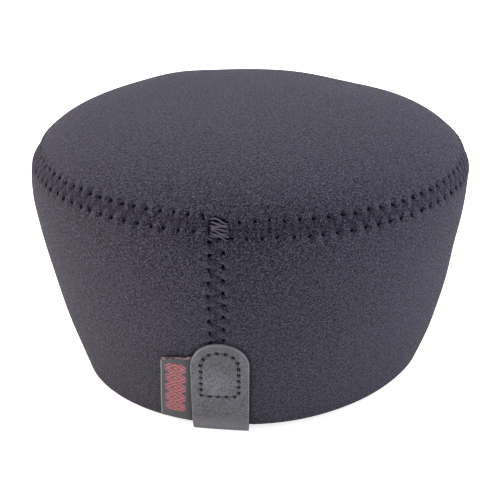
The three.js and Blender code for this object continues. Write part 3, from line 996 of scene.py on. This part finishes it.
def crownDisc(name, material, lifts, fromArc, pinched=True):  # foam and stiffener
    rows = np.linspace(fromArc, topArc - 0.5, 40)
    if pinched:
        rows = fromArc + np.array([0.008, 1, 2, 3, 4, 5, 6, 7, 8])
        rows = np.concatenate([rows, np.linspace(fromArc + 9.2, topArc - 0.5, 46)])
    nominal, azimuth, arc, cloth = crownGrid(208, rows)
    deep = drawnIn(nominal - seam["arc"], 8.5) if pinched else 0 * nominal
    skin = Skin()
    sides = []
    for lift, inset in zip(lifts, seam["drawnFoam"]):
        ids = skin.add(place(azimuth, arc, lift + inset * deep + 0 * azimuth), cloth)
        sides.append(closed(ids))
        skin.quads(sides[-1])
        skin.face(ids[-1])
    skin.quads(np.stack([sides[0][0], sides[1][0]]))
    return skin.build(name, [material])


def bendWithTab(piece):
    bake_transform(piece)


outerFace, liningFaces = shell["outerFace"], (-shell["sheet"], shell["liningBack"])
wallJersey = wallPanel("wallJersey", "wallJersey", 0.0, outerFace, 1, 20, 5)
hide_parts("wall_outer_jersey")
wallFoam = wallFoamPanel()
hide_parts("wall_foam")
wallLining = wallPanel("wallLining", "lining", *liningFaces, -1, 8, 4)
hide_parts("wall_grip_lining")
for piece in (wallJersey, wallFoam, wallLining):
    bendWithTab(piece)
print("wall panels laid up")

crownJersey = crownPanel("crownJersey", "crownJersey", 0.0, outerFace, 1, 20)
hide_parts("crown_outer_jersey")
crownFoam = crownDisc("crownFoam", "foam", shell["foam"], seam["arc"])
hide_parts("crown_foam")
stiffenerEdge = topArc - shell["stiffenerRadius"]
stiffener = crownDisc("crownStiffener", "stiffener", shell["stiffener"], stiffenerEdge, False)
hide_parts("crown_stiffener")
crownLining = crownPanel("crownLining", "lining", *liningFaces, -1, 8, overStiffener)
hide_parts("crown_lining")
for piece in (crownJersey, crownFoam, stiffener, crownLining):
    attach(piece, "cap_shell")
print("crown panels laid up")


# threads

def unit(vectors):
    return vectors / np.linalg.norm(vectors, axis=1)[:, None]


def sewTube(skin, azimuth, arc, lift, radius, inside):  # a round thread along a line on the shell
    line = place(azimuth, arc, lift)
    outward = unit(place(azimuth, arc, lift + (-1 if inside else 1)) - line)
    along = unit(np.gradient(line, axis=0))
    side = unit(np.cross(along, outward))
    above = np.cross(side, along)
    turn = np.linspace(-0.5 * np.pi, 1.5 * np.pi, 9)
    across, up = np.cos(turn)[None, :, None], np.sin(turn)[None, :, None]
    ring = line[:, None] + radius / 1000 * (across * side[:, None] + up * above[:, None])
    run = np.concatenate([[0], np.cumsum(np.linalg.norm(np.diff(line, axis=0), axis=1))]) * 1000
    cloth = np.stack(np.broadcast_arrays((turn / (2 * np.pi))[None], run[:, None]), -1)
    ids = skin.add(ring[:, :-1], cloth[:, :-1])
    skin.quads(closed(ids))
    skin.face(ids[0])
    skin.face(ids[-1][::-1])


def addStitches(skin, starts, ends, rest, dive, radius, inside=False, points=15, sway=None):
    t = np.linspace(0, 1, points)
    t = t - 0.045 * np.sin(4 * np.pi * t)  # closer points where the thread dives
    dip = np.abs(2 * t - 1) ** 6
    for k, ((a0, s0), (a1, s1)) in enumerate(zip(np.transpose(starts), np.transpose(ends))):
        azimuth, arc = a0 + (a1 - a0) * t, s0 + (s1 - s0) * t
        depth = rest - dive * dip
        if sway is not None:
            arc = arc + sway[k] * np.sin(5.2 * t + 1.9 * k) * (1 - dip)
            depth = depth + 0.4 * np.abs(sway[k]) * np.cos(4.4 * t + 2.3 * k)
        sewTube(skin, azimuth, arc, -shell["sheet"] - depth if inside else depth, radius, inside)


def crownSeamHoles():
    cells, first, pitch, step = np.arange(-9, 94), seam["firstHole"], seam["pitch"], seam["lowerStep"]
    lowerAz = first + pitch * (cells[1:] + pick("lower", "along", cells[1:]) / step)
    lowerArc = seamArc(lowerAz) - seam["reach"] - pick("lower", "across", cells[1:])
    upperAz = first + pitch * (cells + 0.5 + pick("upper", "along", cells) / step)
    near = np.clip(upperAz, seam["start"], seam["start"] + 360)
    upperArc = seamArc(near) + seam["reach"] + pick("upper", "across", cells)
    route = np.empty((2 * len(cells) - 1, 2))
    route[::2] = np.stack([upperAz, upperArc], 1)
    route[1::2] = np.stack([lowerAz, lowerArc], 1)
    return route


def sideSeamHoles():
    route = []
    for k in range(sideSeam["count"]):
        for side, sign in (("left", -1), ("right", 1)):
            arc = sideSeam[side + "Top"] - sideSeam["pitch"] * k + pick(side, "along", k)
            off = sideSeam["reach"] + pick(side, "across", k)
            route.append((sideAzimuth(arc) + sign * np.degrees(off / sectionAt(arc)[0]), arc))
    return np.array(route)


threads = {"radius": 0.2, "rest": -0.16, "dive": 1.45, "insideRest": 0.02, "insideDive": 0.7}


def finishThread(skin, name, finish, node):
    piece = skin.build(name, [finish])
    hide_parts(node)
    return piece


def zigzagThread(name, route, node, inside):
    skin = Skin()
    rest, dive = (threads[key] for key in (("insideRest", "insideDive") if inside else ("rest", "dive")))
    addStitches(skin, route[:-1].T, route[1:].T, rest, dive, threads["radius"], inside)
    return finishThread(skin, name, "thread", node)


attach(zigzagThread("crownSeamThread", crownSeamHoles(), "crown_seam_thread", False), "cap_shell")
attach(zigzagThread("crownSeamBobbin", crownSeamHoles(), "crown_seam_bobbin_thread", True), "cap_shell")
bendWithTab(zigzagThread("sideSeamThread", sideSeamHoles(), "side_seam_thread", False))
bendWithTab(zigzagThread("sideSeamBobbin", sideSeamHoles(), "side_seam_bobbin_thread", True))


def bartackThread():
    skin = Skin()
    bars, half, thread = bartack["bars"], bartack["width"] / 2, bartack["thread"]
    left = bartack["top"] + 0.3 - (bartack["top"] - bartack["bottom"]) * np.arange(bars) / (bars - 1)
    right = left - bartack["slant"]
    wobble = random.normal(0, 0.17, (4, bars))
    a0 = azimuthOf(bartack["across"] - half + wobble[0], left)
    a1 = azimuthOf(bartack["across"] + half + wobble[1], right)
    sway = bartack["sway"] * (1 + random.normal(0, 0.4, bars))
    addStitches(skin, (a0, left + wobble[2]), (a1, right + wobble[3]), 0.06, 1.2, thread, points=21, sway=sway)
    addStitches(skin, (a1[:-1], right[:-1] - 0.1), (a0[1:], left[1:] - 0.1), -0.5, 0.6, 0.7 * thread)
    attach(finishThread(skin, "bartackThread", "tackThread", "bartack_thread"), "cap_shell")


bartackThread()
print("seams sewn")


# pull tab

dStitch = {
    "halfWidth": 5.92,
    "bottom": 15.45,
    "sag": 0.6,
    "archFrom": 28.15,
    "holes": 21,
    "holeDepth": 1.2,
    "holeLong": 0.62,
    "holeWide": 0.54,
    "thread": 0.17,
}


def stitchRoute():
    s, half = dStitch, dStitch["halfWidth"]
    arch = np.linspace(0, np.pi, 60)
    left = np.stack([np.full(30, -half), np.linspace(s["bottom"], s["archFrom"], 30)], 1)
    over = np.stack([-half * np.cos(arch), s["archFrom"] + half * np.sin(arch)], 1)
    right = left[::-1] * (-1, 1)
    t = np.linspace(1, -1, 40)
    base = np.stack([half * t, s["bottom"] - s["sag"] * (1 - t ** 2)], 1)
    line = np.vstack([left, over[1:], right[1:], base[1:]])
    run = runAlong(line)
    at = np.linspace(0, run[-1], s["holes"] + 1)
    return line, np.stack([np.interp(at, run, line[:, i]) for i in (0, 1)], 1)


dLine, dHoles = stitchRoute()


def stitchRelief(x, arc):
    s = dStitch
    flat = np.stack([x.ravel(), arc.ravel()], 1)
    line = np.sqrt(((flat[:, None] - dLine[None, ::3]) ** 2).sum(-1)).min(1).reshape(x.shape)
    lift = -0.1 * bell(line / 0.6)
    for k in range(s["holes"]):
        here, ahead = dHoles[k], dHoles[k + 1] - dHoles[k - 1 if k else s["holes"] - 1]
        ahead = ahead / np.hypot(*ahead)
        along = (x - here[0]) * ahead[0] + (arc - here[1]) * ahead[1]
        across = (arc - here[1]) * ahead[0] - (x - here[0]) * ahead[1]
        lift -= s["holeDepth"] * bell((along / s["holeLong"]) ** 2 + (across / s["holeWide"]) ** 2)
    return lift


def standOff(x, arc):
    radius = radiusAt(arc)
    return tab["flatness"] * (1 - 0.6 * smooth(arc / 30)) * (radius / np.cos(x / radius) - radius)


def tabRise(x, arc):  # the strip goes up over the label's caught ends and the side seam
    rise = tab["overLabel"] * smooth((-x - 1.6) / 3.6) * smooth((33 - arc) / 5) * smooth((arc - 0.5) / 3)
    return rise + tab["overSeam"] * bell(x / 3.2) * smooth(arc / 4)


def innerShift(arc):  # the strip's inner leaf lies a little to the side
    return tab["foldShift"] * (1 + 0.02 * arc)


def tabMidLine():  # rows of the strip: arc, half width, place in section, outward direction, shift, leaf
    half, thick = tab["halfWidth"], tab["thickness"]
    roundFrom = tab["top"] - half
    tip = np.radians(np.concatenate([[88.5, 87, 85, 82, 79], np.linspace(76, 0, 54)]))
    straight = np.concatenate([np.linspace(roundFrom, 13.6, 82)[1:], np.linspace(13.6, 0, 24)[1:]])
    arcs = np.concatenate([roundFrom + half * np.sin(tip), straight])
    halves = np.concatenate([half * np.cos(tip), np.full(len(straight), half)])
    slope = sectionSlope[0]
    rows = []
    outside = tab["clear"] + thick / 2
    inside = -shell["sheet"] - tab["clear"] - thick / 2
    for arc, wide in zip(arcs, halves):
        r, z = sectionAt(arc, outside)
        n = np.subtract(sectionAt(arc, outside + 1), (r, z))
        rows.append((arc, wide, r, z, n[0], n[1], 0.0, 1))
    p0 = np.array(sectionAt(0.0, outside))
    innerArc = (p0[1] + inside * slope[0]) / slope[1]
    p3 = np.array(sectionAt(innerArc, inside))
    low, turn = thick / 2 - shell["rimAbove"], tab["foldRadius"]
    lean = math.atan2(slope[0], slope[1])
    quarters = ((p0, 1, np.linspace(lean, np.pi / 2, 9)), (p3, -1, np.linspace(np.pi / 2, np.pi + lean, 9)))
    for corner, sign, angles in quarters:
        run = (corner[1] - low - turn + sign * turn * math.sin(lean)) / slope[1]
        foot = corner - slope * run
        centre = foot + sign * turn * np.array((-math.cos(lean), math.sin(lean)))
        for k, angle in enumerate(angles):
            out = np.array((math.cos(angle), -math.sin(angle)))
            shift = 0.0 if sign > 0 else (k + 1) / 10 * tab["foldShift"]
            rows.append((0.0, half, *(centre + turn * out), *out, shift, 0))
    for arc, wide in zip(arcs[::-1], halves[::-1]):
        here = arc + innerArc * (1 - smooth(arc / 12))
        r, z = sectionAt(here, inside)
        n = np.subtract((r, z), sectionAt(here, inside + 1))
        rows.append((arc, wide, r, z, n[0], n[1], innerShift(arc), -1))
    return np.array(rows)


def buildTab():
    rows = tabMidLine()
    half, thick, edge = tab["halfWidth"], tab["thickness"], tab["edgeRound"]
    toEdge = np.concatenate([[0, 0.03, 0.08, 0.15, 0.25, 0.45, 0.75], np.linspace(1.0, half, 53)])
    across = np.concatenate([toEdge - half, (half - toEdge[:-1])[::-1]]) / half
    arc, wide, r, z, nr, nz, shift, leaf = (rows[:, i][:, None] for i in range(8))
    x = across[None] * wide
    roundFrom = tab["top"] - half
    distance = np.where(arc > roundFrom, half - np.hypot(x, arc - roundFrom), half - np.abs(x))
    near = np.clip(distance, 0, edge)
    curve = np.sqrt(np.maximum(edge ** 2 - (edge - near) ** 2, 0)) - edge
    raised = tabRise(x, arc) * (leaf > 0)
    out = standOff(x, arc) * (leaf > 0) + standOff(x, 0 * arc) * (leaf == 0) * nr
    relief = stitchRelief(x, arc + 0 * x) * (leaf != 0)
    azimuth = tabCentre(arc) + np.degrees((x + shift) / radiusAt(arc))
    cloth = np.stack(np.broadcast_arrays(x, runAlong(rows[:, 2:4])[:, None]), -1)
    skin = Skin()
    rims = []
    for sign in (1, -1):
        lift = raised + out + sign * (thick / 2 + curve) + (relief if sign > 0 else 0)
        # painted shade: the tab's deep stitch holes get the near-black pit material
        own = np.where((relief < -0.45) & (sign > 0), 2, np.where(distance < 0.2, 1, -1))
        ids = skin.add(turned(azimuth, r + lift * nr, z + lift * nz), cloth, own)
        skin.quads(ids)
        rims.append(np.concatenate([ids[0], ids[1:, -1], ids[-1, -2::-1], ids[-2::-1, 0]]))
    skin.quads(np.stack(rims), 1)
    return skin.build("pullTab", ["tab", "tabEdge", "paintedPitShade"], 60)


pullTab = buildTab()
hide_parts("pull_tab")
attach(pullTab, "pull_tab")


def tabThread(name, node, inside):
    skin = Skin()
    half = tab["clear"] + tab["thickness"]
    t = np.linspace(0, 1, 11)
    depth = -0.08 - 0.95 * np.abs(2 * t - 1) ** 5
    for (x0, s0), (x1, s1) in zip(dHoles[:-1], dHoles[1:]):
        x, arc = x0 + (x1 - x0) * t, s0 + (s1 - s0) * t
        raised = tabRise(x, arc) + standOff(x, arc)
        lift = -shell["sheet"] - half - depth if inside else half + raised + depth
        azimuth = tabCentre(arc) + np.degrees((x + (innerShift(arc) if inside else 0)) / sectionAt(arc)[0])
        sewTube(skin, azimuth, arc, lift, dStitch["thread"], inside)
    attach(finishThread(skin, name, "tabThread", node), "pull_tab")


tabThread("tabStitchThread", "tab_stitch_thread", False)
tabThread("tabStitchBobbin", "tab_stitch_bobbin_thread", True)
print("pull tab sewn on")


# label, one ribbon folded double with its ends caught under the tab

label = {
    "tail": -13.9,  # where the caught ends lie
    "foldTop": -29.7,
    "foldBottom": -31.65,
    "bottom": 2.4,
    "top": 29.85,
    "tilt": 1.1,
    "bottomTilt": 0.035,
    "bow": 0.35,  # the top edge rises a little in its middle
    "rearShows": 0.32,  # the rear ply shows a little above the front one
    "ply": 0.28,
    "bulge": 0.62,  # between the middles of the plies, where the fold keeps open
    "turnShare": 0.1,
    "standOff": 1.1,  # how far the fold stands off the jersey
}


def buildLabel():
    v = np.linspace(0, 1, 61)[:, None]
    t = np.linspace(0, 1, 65)[None]
    fold = label["foldBottom"] + (label["foldTop"] - label["foldBottom"]) * v
    ply, bulge, turnShare = label["ply"], label["bulge"], label["turnShare"]
    flat = label["tail"] - fold - bulge / 2
    front = np.clip(t / (0.5 - turnShare / 2), 0, 1)
    behind = np.clip((1 - t) / (0.5 - turnShare / 2), 0, 1)
    turn = np.clip((t - 0.5 + turnShare / 2) / turnShare, 0, 1) * np.pi
    reach = np.where(t < 0.5, front, behind)
    across = label["tail"] - reach * flat - bulge / 2 * np.sin(turn)
    off = smooth((label["tail"] + 5.5 - across) / 12) * label["standOff"] * (0.75 + 0.25 * v)
    off = off + 0.12 * np.sin(2.4 * v * np.pi + across * 0.25)
    open_ = ply + (bulge - ply) * smooth(reach * 1.4 - 0.35)
    middle = 0.42 + np.maximum(off, 0) * smooth((-18 - across) / 4) + 0.5 * open_ * np.cos(turn)
    arc = label["bottom"] + (label["top"] - label["bottom"]) * v + label["tilt"] * (across + 25.5) / 5 * v
    arc = arc + label["bottomTilt"] * (across - fold) * (1 - v)
    arc = arc + label["bow"] * np.maximum(1 - ((across + 25.3) / 4.6) ** 2, -1.2) * v
    arc = arc + np.where(t > 0.5, label["rearShows"] * v, 0)
    cloth = np.stack(np.broadcast_arrays(np.abs(across - fold), arc), -1)
    azimuth = azimuthOf(across, arc)
    line = place(azimuth, arc, middle)
    normal = np.cross(np.gradient(line, axis=1), np.gradient(line, axis=0))
    normal /= np.linalg.norm(normal, axis=2)[..., None]
    own = np.where((t > 0.5) & (v > 0.97), 1, -1)
    skin = Skin()
    sides = [skin.add(line + sign * normal * ply / 2000, cloth, own) for sign in (1, -1)]
    for side in sides:
        skin.quads(side)
    skin.edges(*sides, 1)
    return skin.build("labelRibbon", ["ribbon", "ribbonEdge"], 60)


labelRibbon = buildLabel()
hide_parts("label_tail", "label_flap")
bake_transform(labelRibbon)
print("label folded and caught")

addCamera()
addStudio()
print("scene ready")
